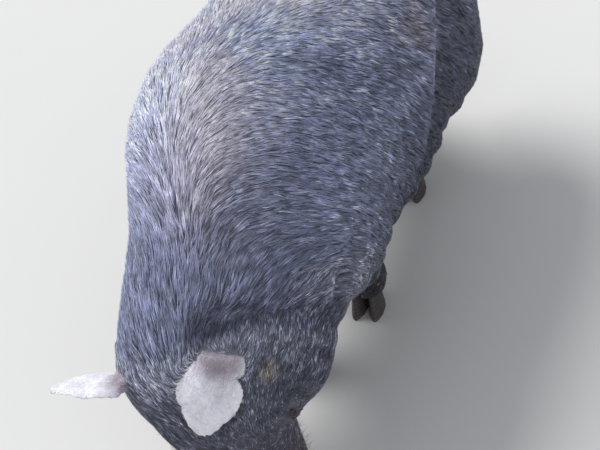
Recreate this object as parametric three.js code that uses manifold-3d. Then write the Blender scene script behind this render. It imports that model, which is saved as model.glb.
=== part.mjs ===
// A life-size model of a small, round-bodied domestic pig that stands with its head lowered to
// root: the snout touches the ground, the neck bends to the pig's left, one ear droops forward
// over the face and the other stands out sideways.
// Millimetres, +Z up, the pig faces -Y and its left side is +X. The ground is z = 0.
//
// The flesh is one smooth solid, a blend of ellipsoids and round cones. It is meshed once for the
// trunk and more finely for the head and legs, and thin plane cuts part it into named pieces.
import * as THREE from "three";
import { mergeVertices } from "three/addons/utils/BufferGeometryUtils.js";
import Module from "manifold-3d";

const wasm = await Module();
wasm.setup();

// ---- Driving sizes -------------------------------------------------------------------------
const BACK_HEIGHT = 540; // highest point of the back
const BELLY_HEIGHT = 118; // lowest point of the belly
const HALF_WIDTH = 184; // at the belly, before the trunk is tapered to the rear
const TRUNK_FRONT = -300; // front of the breast
const TRUNK_REAR = 376; // back of the rump
const LEAN = 7; // degrees that the shoulders lean to the pig's right
const SWING = 12; // how far the rump swings to the pig's left
// Where each foot stands: the left fore leg is drawn back and the left hind leg is forward.
const FEET = {
  foreleg_left: { side: 1, x: 38, y: -80 },
  foreleg_right: { side: -1, x: 54, y: -212 },
  hindleg_left: { side: 1, x: 40, y: 160 },
  hindleg_right: { side: -1, x: 66, y: 248 },
};

const HEAD_YAW = 46; // degrees to the pig's left
const HEAD_PITCH = 63; // degrees below level
const HEAD_ROLL = 37; // degrees, left side up
const HEAD_CENTRE = new THREE.Vector3(-34, -382, 238); // middle of the braincase
const SNOUT_REACH = 218; // from there to the front of the snout
const SNOUT_RADIUS = 42;
const SNOUT_DEPTH = 24; // the part of the muzzle that ends in the flat disc
const EYE_RADIUS = 12;
const EAR_LENGTHS = { left: 117, right: 125 };
const EAR_WIDTH = 82;
const EAR_THICKNESS = 7;

const CUT = 0.5; // width of the cuts between pieces
const TRUNK_CELL = 44; // mesh sizes
const HEAD_CELL = 23;
const THIGH_CELL = 29;
const LEG_CELL = 20;

// ---- Small helpers ---------------------------------------------------------------------------
const vec = (x, y, z) => new THREE.Vector3(x, y, z);
const radians = THREE.MathUtils.degToRad;
const mirrored = (point, side) => vec(point.x * side, point.y, point.z);

// ---- Distance fields: negative inside, positive outside, in millimetres ------------------------
function ellipsoid(centre, radii, turn = new THREE.Euler()) {
  const placed = new THREE.Matrix4().compose(
    centre,
    new THREE.Quaternion().setFromEuler(turn),
    vec(1, 1, 1),
  );
  const point = vec(0, 0, 0);
  const toLocal = placed.invert();
  return (x, y, z) => {
    point.set(x, y, z).applyMatrix4(toLocal);
    const scaled = Math.hypot(point.x / radii.x, point.y / radii.y, point.z / radii.z);
    const slope = Math.hypot(
      point.x / radii.x ** 2,
      point.y / radii.y ** 2,
      point.z / radii.z ** 2,
    );
    return slope > 0 ? (scaled * (scaled - 1)) / slope : -Math.min(radii.x, radii.y, radii.z);
  };
}

// The skin of two balls and the cone that wraps both.
function roundCone(start, end, startRadius, endRadius) {
  const along = end.clone().sub(start);
  const length2 = along.lengthSq();
  const fall = startRadius - endRadius;
  const slant2 = length2 - fall * fall;
  const inverse = 1 / length2;
  return (x, y, z) => {
    const px = x - start.x;
    const py = y - start.y;
    const pz = z - start.z;
    const height = px * along.x + py * along.y + pz * along.z;
    const beyond = height - length2;
    const ax = px * length2 - along.x * height;
    const ay = py * length2 - along.y * height;
    const az = pz * length2 - along.z * height;
    const off2 = ax * ax + ay * ay + az * az;
    const height2 = height * height * length2;
    const beyond2 = beyond * beyond * length2;
    const key = Math.sign(fall) * fall * fall * off2;
    if (Math.sign(beyond) * slant2 * beyond2 > key) {
      return Math.sqrt(off2 + beyond2) * inverse - endRadius;
    }
    if (Math.sign(height) * slant2 * height2 < key) {
      return Math.sqrt(off2 + height2) * inverse - startRadius;
    }
    return (Math.sqrt(off2 * slant2 * inverse) + height * fall) * inverse - startRadius;
  };
}

// Joins fields with a fillet about `round` wide.
function blend(round, ...fields) {
  return (x, y, z) => {
    let joined = fields[0](x, y, z);
    for (let i = 1; i < fields.length; i++) {
      const next = fields[i](x, y, z);
      const near = Math.max(round - Math.abs(joined - next), 0) / round;
      joined = Math.min(joined, next) - (near * near * round) / 4;
    }
    return joined;
  };
}

function placedField(field, matrix) {
  const toLocal = matrix.clone().invert();
  const point = vec(0, 0, 0);
  return (x, y, z) => {
    point.set(x, y, z).applyMatrix4(toLocal);
    return field(point.x, point.y, point.z);
  };
}

// ---- The trunk -------------------------------------------------------------------------------
const smoothstep = (low, high, value) => THREE.MathUtils.smoothstep(value, low, high);

// How far the trunk is set off to the pig's left: the shoulders lean over to its right, more so
// higher up, and the rump stands upright and swings to its left.
function trunkShift(y, z) {
  const toRear = smoothstep(TRUNK_FRONT + 130, TRUNK_REAR - 180, y);
  return SWING * toRear - Math.tan(radians(LEAN)) * (z - 200) * (1 - toRear);
}

function trunkField() {
  const middle = (BACK_HEIGHT + BELLY_HEIGHT) / 2;
  const depth = (BACK_HEIGHT - BELLY_HEIGHT) / 2;
  const centreY = (TRUNK_FRONT + TRUNK_REAR) / 2;
  const length = TRUNK_REAR - TRUNK_FRONT;
  const barrel = ellipsoid(
    vec(2, centreY - 4, middle - 4),
    vec(HALF_WIDTH * 0.87, length * 0.46, depth * 0.94),
  );
  const belly = ellipsoid(
    vec(-14, centreY + 16, BELLY_HEIGHT + 136),
    vec(HALF_WIDTH - 22, length * 0.34, 134),
  );
  const back = ellipsoid(
    vec(6, centreY - 30, BACK_HEIGHT - 108),
    vec(HALF_WIDTH * 0.5, length * 0.38, 92),
    new THREE.Euler(radians(-8), 0, 0),
  );
  const chest = ellipsoid(vec(-8, TRUNK_FRONT + 142, middle + 4), vec(142, 148, 176));
  const withers = ellipsoid(vec(-2, TRUNK_FRONT + 145, BACK_HEIGHT - 100), vec(94, 146, 96));
  const rump = ellipsoid(vec(0, TRUNK_REAR - 138, middle + 28), vec(136, 134, 146));
  const hams = [1, -1].map((side) =>
    ellipsoid(
      vec(side * 86, TRUNK_REAR - 132, middle - 52),
      vec(70, 108, 146),
      new THREE.Euler(radians(-12), 0, 0),
    ),
  );
  const upright = blend(60, barrel, belly, back, chest, withers, rump, ...hams);
  return (x, y, z) => upright(x - trunkShift(y, z), y, z);
}

// ---- The legs --------------------------------------------------------------------------------
const SHOULDER = vec(66, TRUNK_FRONT + 112, 304);
const ELBOW = vec(60, TRUNK_FRONT + 156, 196);
const HIP = vec(102, TRUNK_REAR - 172, 240);

const toward = (from, to, share) => from.clone().lerp(to, share);

// The foot's own flesh: fetlock, pastern and the pad that the claws grow from.
function footFlesh(foot) {
  const above = (y, z) => vec(foot.x, foot.y + y, z);
  return [
    roundCone(above(10, 60), above(9, 50), 22, 25),
    roundCone(above(8, 48), above(-8, 26), 25, 25),
  ];
}

function foreLegField({ side, x, y }) {
  const at = (point) => mirrored(point, side);
  const fetlock = vec(x, y + 12, 56);
  const wrist = toward(ELBOW, fetlock, 0.6).setZ(106);
  return blend(
    24,
    ellipsoid(at(SHOULDER), vec(50, 84, 116), new THREE.Euler(radians(14), 0, 0)),
    roundCone(at(toward(SHOULDER, ELBOW, 0.6)), at(ELBOW), 56, 44),
    roundCone(at(ELBOW), at(wrist), 44, 27),
    ellipsoid(at(wrist), vec(27, 29, 31)),
    roundCone(at(wrist), at(fetlock), 23, 22),
    ...footFlesh(vec(side * x, y, 0)),
  );
}

function hindLegField({ side, x, y }) {
  const at = (point) => mirrored(point, side);
  const hock = vec(x + 3, y + 58, 132);
  const fetlock = vec(x, y + 14, 56);
  return blend(
    24,
    ellipsoid(at(HIP), vec(58, 86, 84)),
    roundCone(at(HIP.clone().add(vec(2, 16, -14))), at(hock), 64, 30),
    ellipsoid(at(hock), vec(26, 30, 33)),
    roundCone(at(hock.clone().add(vec(0, 16, 12))), at(hock), 15, 24),
    roundCone(at(hock), at(fetlock), 24, 23),
    ...footFlesh(vec(side * x, y, 0)),
  );
}

// ---- The head, in its own frame: x to the pig's left, -y along the snout, z out of the brow ----
const HEAD_FRAME = new THREE.Matrix4().compose(
  HEAD_CENTRE,
  new THREE.Quaternion().setFromEuler(
    new THREE.Euler(radians(HEAD_PITCH), radians(-HEAD_ROLL), radians(HEAD_YAW), "ZXY"),
  ),
  vec(1, 1, 1),
);
const inHead = (x, forward, up) => vec(x, -forward, up);
const headPoint = (x, forward, up) => inHead(x, forward, up).applyMatrix4(HEAD_FRAME);

function headField() {
  const muzzleEnd = SNOUT_REACH - SNOUT_DEPTH;
  const skull = blend(
    38,
    ellipsoid(inHead(0, 0, 0), vec(98, 104, 90)),
    ellipsoid(inHead(0, 44, 20), vec(68, 80, 58)),
    roundCone(inHead(0, 66, -9), inHead(0, muzzleEnd, -14), 50, SNOUT_RADIUS - 2),
    roundCone(inHead(0, 18, -54), inHead(0, muzzleEnd - 30, -46), 52, 25),
    ...[1, -1].map((side) => ellipsoid(inHead(side * 82, 6, -38), vec(66, 94, 80))),
    ...[1, -1].map((side) => ellipsoid(inHead(side * 52, 66, 39), vec(25, 32, 17))),
    ellipsoid(inHead(0, -34, 50), vec(76, 48, 38)),
  );
  return placedField(skull, HEAD_FRAME);
}

// ---- The neck: bends from the breast to the back of the head -----------------------------------
function neckField() {
  return blend(
    60,
    roundCone(vec(-14, TRUNK_FRONT + 120, 350), headPoint(14, -30, -14), 134, 98),
    roundCone(vec(-24, TRUNK_FRONT + 130, BACK_HEIGHT - 104), headPoint(0, -68, 22), 82, 72),
    roundCone(vec(-6, TRUNK_FRONT + 100, 270), headPoint(0, -40, -46), 110, 88),
    roundCone(vec(60, TRUNK_FRONT + 106, 300), headPoint(76, -34, -44), 94, 82),
  );
}

// ---- The tail: hangs from the rump with a slight curl ------------------------------------------
const TAIL_ROOT = vec(8, TRUNK_REAR - 6, 388);
const TAIL_RUN = [
  TAIL_ROOT,
  vec(10, TRUNK_REAR + 32, 368),
  vec(18, TRUNK_REAR + 44, 328),
  vec(26, TRUNK_REAR + 40, 284),
  vec(23, TRUNK_REAR + 42, 242),
];
const TAIL_RADII = [17, 13, 10, 8.5, 7];

function tailField() {
  const lengths = TAIL_RUN.slice(1).map((end, i) =>
    roundCone(TAIL_RUN[i], end, TAIL_RADII[i], TAIL_RADII[i + 1]),
  );
  return blend(6, ...lengths);
}

const trunk = trunkField();
const foreLegs = [FEET.foreleg_left, FEET.foreleg_right].map(foreLegField);
const hindLegs = [FEET.hindleg_left, FEET.hindleg_right].map(hindLegField);
const bulk = blend(46, trunk, neckField(), ...foreLegs, ...hindLegs);
const flesh = blend(20, blend(30, bulk, headField()), tailField());

// ---- Meshing a field ---------------------------------------------------------------------------
// One vertex in every cell of a grid that the surface crosses, pulled onto the surface, and one
// quad across every grid edge that it crosses. Whatever lies outside the box counts as outside.
function meshField(field, box, cell) {
  const size = box.getSize(vec(0, 0, 0));
  const start = box.min.clone().subScalar(2 * cell);
  const [nx, ny, nz] = [size.x, size.y, size.z].map((side) => Math.ceil(side / cell) + 4);
  const index = (i, j, k) => i + nx * (j + ny * k);
  const values = new Float64Array(nx * ny * nz);
  for (let k = 0; k < nz; k++) {
    for (let j = 0; j < ny; j++) {
      for (let i = 0; i < nx; i++) {
        const point = vec(i, j, k).multiplyScalar(cell).add(start);
        const value = field(point.x, point.y, point.z);
        values[index(i, j, k)] = box.containsPoint(point) ? value : Math.max(value, cell);
      }
    }
  }
  const corners = [0, 1, 2, 3, 4, 5, 6, 7].map((n) => [n & 1, (n >> 1) & 1, n >> 2]);
  const edges = [];
  corners.forEach((a, m) =>
    corners.forEach((b, n) => {
      const steps = Math.abs(a[0] - b[0]) + Math.abs(a[1] - b[1]) + Math.abs(a[2] - b[2]);
      if (m < n && steps === 1) edges.push([m, n]);
    }),
  );
  const vertexOf = new Map();
  const positions = [];
  for (let k = 0; k < nz - 1; k++) {
    for (let j = 0; j < ny - 1; j++) {
      for (let i = 0; i < nx - 1; i++) {
        const at = corners.map(([a, b, c]) => values[index(i + a, j + b, k + c)]);
        const crossed = edges.filter(([m, n]) => at[m] < 0 !== at[n] < 0);
        if (!crossed.length) continue;
        const middle = vec(0, 0, 0);
        for (const [m, n] of crossed) {
          const share = at[m] / (at[m] - at[n]);
          const from = corners[m];
          const to = corners[n];
          middle.x += from[0] + share * (to[0] - from[0]);
          middle.y += from[1] + share * (to[1] - from[1]);
          middle.z += from[2] + share * (to[2] - from[2]);
        }
        middle.divideScalar(crossed.length);
        const point = vec(i, j, k).add(middle).multiplyScalar(cell).add(start);
        vertexOf.set(index(i, j, k), positions.length / 3);
        positions.push(...pulledOnto(field, point, cell).toArray());
      }
    }
  }
  const triangles = [];
  const strides = [index(1, 0, 0), index(0, 1, 0), index(0, 0, 1)];
  for (let k = 1; k < nz - 1; k++) {
    for (let j = 1; j < ny - 1; j++) {
      for (let i = 1; i < nx - 1; i++) {
        const here = index(i, j, k);
        for (let axis = 0; axis < 3; axis++) {
          const inside = values[here] < 0;
          if (inside === values[here + strides[axis]] < 0) continue;
          const across = strides[(axis + 1) % 3];
          const over = strides[(axis + 2) % 3];
          const ring = [here - across - over, here - over, here, here - across];
          const quad = ring.map((c) => vertexOf.get(c));
          if (!inside) quad.reverse();
          triangles.push(...splitQuad(quad, positions));
        }
      }
    }
  }
  return new wasm.Manifold(
    new wasm.Mesh({
      numProp: 3,
      vertProperties: new Float32Array(positions),
      triVerts: new Uint32Array(triangles),
    }),
  );
}

// Moves a point along the field's slope until it lies on the surface.
function pulledOnto(field, point, cell) {
  const step = 0.5;
  const limit = cell * 0.5;
  const moved = point.clone();
  for (let round = 0; round < 4; round++) {
    const value = field(moved.x, moved.y, moved.z);
    const slope = vec(
      field(moved.x + step, moved.y, moved.z) - field(moved.x - step, moved.y, moved.z),
      field(moved.x, moved.y + step, moved.z) - field(moved.x, moved.y - step, moved.z),
      field(moved.x, moved.y, moved.z + step) - field(moved.x, moved.y, moved.z - step),
    ).divideScalar(2 * step);
    const steep = slope.lengthSq();
    if (steep < 1e-4) break;
    moved.addScaledVector(slope, -value / steep);
  }
  return moved.distanceTo(point) < limit ? moved : point;
}

// Splits a quad along its shorter diagonal.
function splitQuad([a, b, c, d], positions) {
  const gap = (m, n) =>
    Math.hypot(...[0, 1, 2].map((axis) => positions[3 * m + axis] - positions[3 * n + axis]));
  return gap(a, c) < gap(b, d) ? [a, b, c, a, c, d] : [a, b, d, b, c, d];
}

// ---- Solids and cuts ---------------------------------------------------------------------------
function solidOf(geometry) {
  const bare = geometry.clone();
  for (const name of Object.keys(bare.attributes)) {
    if (name !== "position") bare.deleteAttribute(name);
  }
  const merged = mergeVertices(bare, 1e-4);
  return new wasm.Manifold(
    new wasm.Mesh({
      numProp: 3,
      vertProperties: merged.attributes.position.array,
      triVerts: new Uint32Array(merged.index.array),
    }),
  );
}

// A solid as a geometry. The ends of every edge shorter than `least` become one point, and so do
// those of an edge shorter than `pinch` where the surface touches itself. Faces that this lays
// flat against each other are left out.
function geometryOf(solid, least = 0.05, pinch = 4) {
  const mesh = solid.getMesh();
  const raw = new THREE.BufferGeometry();
  raw.setAttribute("position", new THREE.BufferAttribute(mesh.vertProperties, mesh.numProp));
  raw.setIndex([...mesh.triVerts]);
  const welded = mergeVertices(raw, 1e-4);
  const place = welded.getAttribute("position");
  const points = Array.from({ length: place.count }, (_, i) =>
    new THREE.Vector3().fromBufferAttribute(place, i),
  );
  const sidesOf = ([a, b, c]) => [[a, b], [b, c], [c, a]];
  const keyOf = (corners) => [...corners].sort((m, n) => m - n).join();
  const usesOf = (lists) => {
    const uses = new Map();
    for (const list of lists) uses.set(keyOf(list), (uses.get(keyOf(list)) ?? 0) + 1);
    return uses;
  };
  let faces = [];
  for (let i = 0; i < mesh.numTri; i++) {
    faces.push([...welded.index.array.slice(3 * i, 3 * i + 3)]);
  }
  const tooShort = () => {
    const sides = faces.flatMap(sidesOf);
    const uses = usesOf(sides);
    return sides.filter(([m, n]) => {
      const limit = uses.get(keyOf([m, n])) > 2 ? pinch : least;
      return points[m].distanceTo(points[n]) < limit;
    });
  };
  for (let short = tooShort(); short.length; short = tooShort()) {
    const standIn = points.map((_, i) => i);
    const keptOf = (i) => (standIn[i] === i ? i : (standIn[i] = keptOf(standIn[i])));
    for (const [m, n] of short) standIn[keptOf(n)] = keptOf(m);
    faces = faces
      .map((corners) => corners.map(keptOf))
      .filter(([a, b, c]) => a !== b && b !== c && c !== a);
    const folds = usesOf(faces);
    faces = faces.filter((corners) => folds.get(keyOf(corners)) === 1);
  }
  const geometry = new THREE.BufferGeometry().setFromPoints(points);
  geometry.setIndex(faces.flat());
  geometry.computeVertexNormals();
  return geometry;
}

const VAST = 3000;

// Everything on the side of a plane that its normal points away from, moved back by `inset`.
function behind(point, normal, inset = 0) {
  const box = new THREE.BoxGeometry(VAST, VAST, VAST);
  const facing = normal.clone().normalize();
  const turn = new THREE.Quaternion().setFromUnitVectors(vec(0, 0, 1), facing);
  const centre = point.clone().addScaledVector(facing, -VAST / 2 - inset);
  box.applyMatrix4(new THREE.Matrix4().compose(centre, turn, vec(1, 1, 1)));
  return solidOf(box);
}

// A zone is a list of planes, each a point and the normal that leaves the zone.
function zoneSolid(planes, inset) {
  return planes
    .map(([point, normal]) => behind(point, normal, inset))
    .reduce((left, right) => left.intersect(right));
}

const flip = ([point, normal]) => [point, normal.clone().negate()];

// ---- Where the flesh is cut --------------------------------------------------------------------
const headBack = inHead(0, -1, 0).transformDirection(HEAD_FRAME); // points to the nape
const SNOUT_CUT = [headPoint(0, SNOUT_REACH - SNOUT_DEPTH, 0), headBack];
const HEAD_CUT = [headPoint(0, -64, 0), headBack];
const NECK_CUT = [vec(0, TRUNK_FRONT + 40, 350), vec(0, 0.86, 0.5)];
const CHEST_CUT = [vec(0, -85, 0), vec(0, 1, 0)];
const BELLY_CUT = [vec(0, 150, 0), vec(0, 1, 0)];
const TAIL_CUT = [vec(0, TRUNK_REAR + 20, 0), vec(0, -1, 0)];

// The part of space that a leg fills, and a little of the trunk above it.
function foreLegZone({ side, y }) {
  return [
    [vec(side * 3, 0, 0), vec(-side, 0, 0.16)],
    [vec(0, Math.min(y - 64, ELBOW.y - 72), 0), vec(0, -1, 0)],
    [vec(0, Math.max(y + 56, ELBOW.y + 66), 0), vec(0, 1, 0)],
    [vec(side * 70, 0, 206), vec(-side * 0.6, 0, 0.8)],
  ];
}

function hindLegZone({ side }) {
  return [
    [vec(side * 3, 0, 0), vec(-side, 0, 0.16)],
    [vec(0, HIP.y - 92, 0), vec(0, -1, 0)],
    [vec(side * 70, 0, 216), vec(-side * 0.55, 0, 0.83)],
  ];
}
// The plane along the top of the claws of a foot, higher in front.
const hoofLine = (foot) => [vec(0, foot.y - 16, 31), vec(0, 0.27, 0.96)];
const KNEE_CUT = [vec(0, 0, 108), vec(0, 0, 1)];
const HOCK_CUT = [vec(0, 0, 112), vec(0, 0, 1)];

// ---- Claws, eyes and ears ----------------------------------------------------------------------
// A claw: an oval column, flat underneath, that leans forward to a blunt point.
function clawGeometry(width, length, height, lean) {
  const column = new THREE.CylinderGeometry(0.62, 1, 1, 10, 2);
  column.rotateX(Math.PI / 2);
  const place = column.getAttribute("position");
  for (let i = 0; i < place.count; i++) {
    const rise = place.getZ(i) + 0.5;
    const ahead = -place.getY(i);
    const point = ahead > 0 ? 1 - 0.34 * ahead * ahead : 1;
    place.setXYZ(
      i,
      (place.getX(i) * point * width) / 2,
      (place.getY(i) * length) / 2 + rise * lean,
      rise * height,
    );
  }
  return column;
}

function footClaws(name, foot) {
  const { side, x, y } = foot;
  const claws = [];
  const dewclaws = [];
  for (const [place, offset] of [["outer", side], ["inner", -side]]) {
    const main = clawGeometry(25, 52, 46, 15);
    main.rotateZ(radians(offset * 5));
    main.translate(side * x + offset * 13.4, y - 16, 0);
    claws.push([name + "_claw_" + place, within(solidOf(main), [hoofLine(foot)])]);
    const dew = clawGeometry(15, 19, 24, -5);
    dew.rotateX(radians(-24));
    dew.translate(side * x + offset * 16, y + 27, 27);
    dewclaws.push([name + "_dewclaw_" + place, dew]);
  }
  return { claws, dewclaws };
}

// A copy grown about its own middle.
function enlarged(geometry, factor) {
  const grown = geometry.clone();
  grown.computeBoundingBox();
  const centre = grown.boundingBox.getCenter(vec(0, 0, 0));
  grown.translate(-centre.x, -centre.y, -centre.z);
  grown.scale(factor, factor, factor);
  grown.translate(centre.x, centre.y, centre.z);
  return grown;
}

// An ear: a leaf of even thickness, cupped across and bent along its length. Its root is at the
// origin, the tip along -y, and the cup opens towards -z.
function earGeometry(curl, length) {
  const rows = 8;
  const columns = 8;
  const leaf = new THREE.BoxGeometry(1, 1, 1, columns, rows, 1);
  const place = leaf.getAttribute("position");
  for (let i = 0; i < place.count; i++) {
    const across = place.getX(i) * 2;
    const along = 0.5 - place.getY(i);
    const face = place.getZ(i) * 2;
    const widest = Math.pow(Math.sin(Math.PI * (0.16 + 0.84 * along)), 0.62);
    const half = Math.max((EAR_WIDTH / 2) * widest, 2.2);
    const rim = 1 - 0.72 * Math.pow(Math.abs(across), 3);
    const tip = 1 - 0.55 * along;
    const thick = ((EAR_THICKNESS + 8 * Math.pow(1 - along, 3)) / 2) * rim * tip + 0.9;
    const cup = -(0.34 - 0.2 * along) * EAR_WIDTH * 0.5 * across * across;
    const bend = curl * along * along;
    place.setXYZ(
      i,
      across * half,
      -along * length * Math.cos(bend * 0.5),
      face * thick + cup - length * 0.5 * along * Math.sin(bend),
    );
  }
  return leaf;
}

// Each ear runs from its root to its tip, its back turned to `back`, all in the head's frame.
const EARS = [
  {
    name: "ear_left",
    root: [77, -46, 92],
    tip: [12, 40, 131],
    back: [0.43, -0.26, 0.88],
    curl: 0.5,
    length: EAR_LENGTHS.left,
  },
  {
    name: "ear_right",
    root: [-67, -44, 76],
    tip: [-193, -82, 62],
    back: [0.19, -0.95, -0.23],
    curl: 0.3,
    length: EAR_LENGTHS.right,
  },
];

function earSolid({ root, tip, back, curl, length }) {
  const start = inHead(...root);
  const behindTip = start.clone().sub(inHead(...tip)).normalize();
  const across = new THREE.Vector3().crossVectors(behindTip, inHead(...back)).normalize();
  const outward = new THREE.Vector3().crossVectors(across, behindTip);
  const ear = earGeometry(curl, length);
  ear.applyMatrix4(new THREE.Matrix4().makeBasis(across, behindTip, outward));
  ear.translate(start.x, start.y, start.z);
  ear.applyMatrix4(HEAD_FRAME);
  return solidOf(ear);
}

// ---- Materials ---------------------------------------------------------------------------------
const material = (color, roughness) => () =>
  new THREE.MeshStandardMaterial({ color, roughness, metalness: 0 });
const hide = material(0x3b3f4a, 0.75);
const earSkin = material(0xa39ba8, 0.7);
const snoutSkin = material(0x4a4650, 0.5);
const horn = material(0x2c2926, 0.55);
const eyeGloss = material(0x1c120c, 0.1);

// ---- Putting the pig together ------------------------------------------------------------------
const pig = new THREE.Group();
pig.name = "pig";

function addPiece(name, solid, makeMaterial) {
  const mesh = new THREE.Mesh(geometryOf(solid), makeMaterial());
  mesh.name = name;
  pig.add(mesh);
}

const boxOf = (x0, y0, z0, x1, y1, z1) => new THREE.Box3(vec(x0, y0, z0), vec(x1, y1, z1));
const half = CUT / 2;
const within = (solid, planes) => solid.intersect(zoneSolid(planes, half));
const without = (solid, planes) => solid.subtract(zoneSolid(planes, -half));
const largest = (solid) =>
  solid.decompose().reduce((best, next) => (next.volume() > best.volume() ? next : best));

const trunkMesh = meshField(
  flesh,
  boxOf(-220, -560, -20, 240, TRUNK_REAR + 80, BACK_HEIGHT + 40),
  TRUNK_CELL,
);
const headBox = new THREE.Box3().setFromPoints(
  [-1, 1].flatMap((x) =>
    [-1, 1].flatMap((y) => [-1, 1].map((z) => headPoint(x * 145, 68 + y * 170, -6 + z * 130))),
  ),
);
const headMesh = meshField(flesh, headBox, HEAD_CELL);

// An eye: a ball let into the side of the face, a third of it standing out.
function eye(side) {
  const seat = pulledOnto(flesh, headPoint(side * 72, 74, 30), 60);
  const inward = headPoint(side * 30, 66, 8).sub(seat).normalize();
  const centre = seat.addScaledVector(inward, EYE_RADIUS - 4.5);
  const ball = new THREE.SphereGeometry(EYE_RADIUS, 12, 8);
  const socket = new THREE.SphereGeometry(EYE_RADIUS + 0.6, 12, 8);
  for (const sphere of [ball, socket]) sphere.translate(centre.x, centre.y, centre.z);
  return { name: side > 0 ? "eye_left" : "eye_right", ball, socket };
}

// The end of the muzzle: a short oval column that flares to the flat disc, with two blind bores
// for the nostrils.
function snoutSolid() {
  const back = CUT / 2 - SNOUT_DEPTH;
  const profile = [
    [0, back],
    [SNOUT_RADIUS - 2, back],
    [SNOUT_RADIUS - 1, -14],
    [SNOUT_RADIUS + 3, -8],
    [SNOUT_RADIUS + 3, -4],
    [SNOUT_RADIUS - 3, 0],
    [0, 1.5],
  ];
  const column = new THREE.LatheGeometry(
    profile.map(([radius, ahead]) => new THREE.Vector2(radius, ahead)),
    20,
  );
  column.scale(1.04, 1, 0.96);
  const bores = [1, -1].map((side) => {
    const bore = new THREE.CylinderGeometry(1, 0.7, 30, 10);
    bore.scale(7, 1, 9);
    bore.translate(side * 16, 0, -4);
    return bore;
  });
  const face = new THREE.Matrix4()
    .makeTranslation(0, -SNOUT_REACH, -14)
    .multiply(new THREE.Matrix4().makeRotationX(Math.PI))
    .premultiply(HEAD_FRAME);
  const [solid, ...holes] = [column, ...bores].map((part) => solidOf(part.applyMatrix4(face)));
  return holes.reduce((rest, hole) => rest.subtract(hole), solid);
}

const clearOfLegs = (solid) =>
  [FEET.foreleg_left, FEET.foreleg_right].reduce(
    (rest, foot) => without(rest, foreLegZone(foot)),
    solid,
  );
let head = clearOfLegs(within(headMesh, [HEAD_CUT, NECK_CUT, flip(SNOUT_CUT)]));
for (const { name, ball, socket } of [1, -1].map(eye)) {
  head = head.subtract(solidOf(socket));
  addPiece(name, solidOf(ball), eyeGloss);
}
addPiece("snout", snoutSolid(), snoutSkin);
const neck = clearOfLegs(within(trunkMesh, [flip(HEAD_CUT), NECK_CUT]));
const torso = within(trunkMesh, [flip(NECK_CUT)]);
// Each ear is cut by the head moved a little towards the ear's root, which leaves a gap.
for (const ear of EARS) {
  const outward = headPoint(...ear.root).sub(HEAD_CENTRE).setLength(0.7);
  const headRoom = headMesh.add(headMesh.translate(outward.toArray()));
  addPiece(ear.name, largest(earSolid(ear).subtract(headRoom)), earSkin);
}
addPiece("head", largest(head), hide);
addPiece("neck", largest(neck), hide);

// Legs, each cut at the knee or hock, with its claws.
let body = torso;
for (const [name, foot] of Object.entries(FEET)) {
  const fore = name.startsWith("fore");
  const zone = fore ? foreLegZone(foot) : hindLegZone(foot);
  const near = foot.side * -4;
  const far = foot.side * 205;
  const legBox = (top) =>
    boxOf(Math.min(near, far), foot.y - 170, -14, Math.max(near, far), foot.y + 230, top);
  const joint = fore ? KNEE_CUT : HOCK_CUT;
  let shank = meshField(flesh, legBox(150), LEG_CELL);
  const { claws, dewclaws } = footClaws(name, foot);
  for (const [clawName, solid] of claws) addPiece(clawName, solid, horn);
  for (const [clawName, geometry] of dewclaws) {
    addPiece(clawName, solidOf(geometry), horn);
    shank = shank.subtract(solidOf(enlarged(geometry, 1.03)));
  }
  shank = within(shank, [...zone, joint, flip(hoofLine(foot))]);
  const thigh = within(meshField(flesh, legBox(400), THIGH_CELL), [...zone, flip(joint)]);
  addPiece(name + "_upper", largest(thigh), hide);
  addPiece(name + "_lower", largest(shank), hide);
  body = without(body, zone);
}
addPiece("chest", largest(within(body, [CHEST_CUT])), hide);
addPiece("belly", largest(within(body, [BELLY_CUT, flip(CHEST_CUT)])), hide);
addPiece("rump", largest(within(body, [flip(BELLY_CUT), flip(TAIL_CUT)])), hide);
const tailMesh = meshField(
  flesh,
  boxOf(-80, TRUNK_REAR - 60, 200, 80, TRUNK_REAR + 70, 450),
  10,
);
addPiece("tail", largest(within(tailMesh, [TAIL_CUT])), hide);

// The origin is under the middle of the whole pig, on the ground.
const bounds = new THREE.Box3().setFromObject(pig);
const middle = bounds.getCenter(vec(0, 0, 0));
pig.position.set(-middle.x, -middle.y, -bounds.min.z);

export default pig;
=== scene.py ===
import math
from functools import cache

import bmesh
import bpy
import numpy as np
from mathutils import Matrix, Vector
from mathutils.bvhtree import BVHTree
from mathutils.kdtree import KDTree


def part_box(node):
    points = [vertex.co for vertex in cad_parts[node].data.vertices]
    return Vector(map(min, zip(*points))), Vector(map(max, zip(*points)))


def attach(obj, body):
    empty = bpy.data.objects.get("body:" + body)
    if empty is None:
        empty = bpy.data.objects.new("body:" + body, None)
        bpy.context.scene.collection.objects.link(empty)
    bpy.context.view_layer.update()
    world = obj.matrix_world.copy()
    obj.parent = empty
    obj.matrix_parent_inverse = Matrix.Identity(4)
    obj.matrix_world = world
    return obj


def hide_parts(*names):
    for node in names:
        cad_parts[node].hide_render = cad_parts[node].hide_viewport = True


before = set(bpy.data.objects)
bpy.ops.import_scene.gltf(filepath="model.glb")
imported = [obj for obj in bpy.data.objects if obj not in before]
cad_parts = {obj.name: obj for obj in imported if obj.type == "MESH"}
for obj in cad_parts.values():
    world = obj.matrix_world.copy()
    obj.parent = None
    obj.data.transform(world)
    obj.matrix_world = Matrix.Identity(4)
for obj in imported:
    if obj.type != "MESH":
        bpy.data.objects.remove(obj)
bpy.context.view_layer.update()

# A still, life-size pig with a dark bristly coat, lowering its head to root. Metres; the pig faces
# -Y and its left side is +X. One skin covers all the flesh; the coat is made of spindle-shaped
# tufts that follow the lie of the hair.
MM = 0.001
rng = np.random.default_rng(7)
# The place on the floor that the head, the creases and the camera are measured from.
ORIGIN = np.array((22.642, 32.032, 0.0)) * MM

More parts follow.
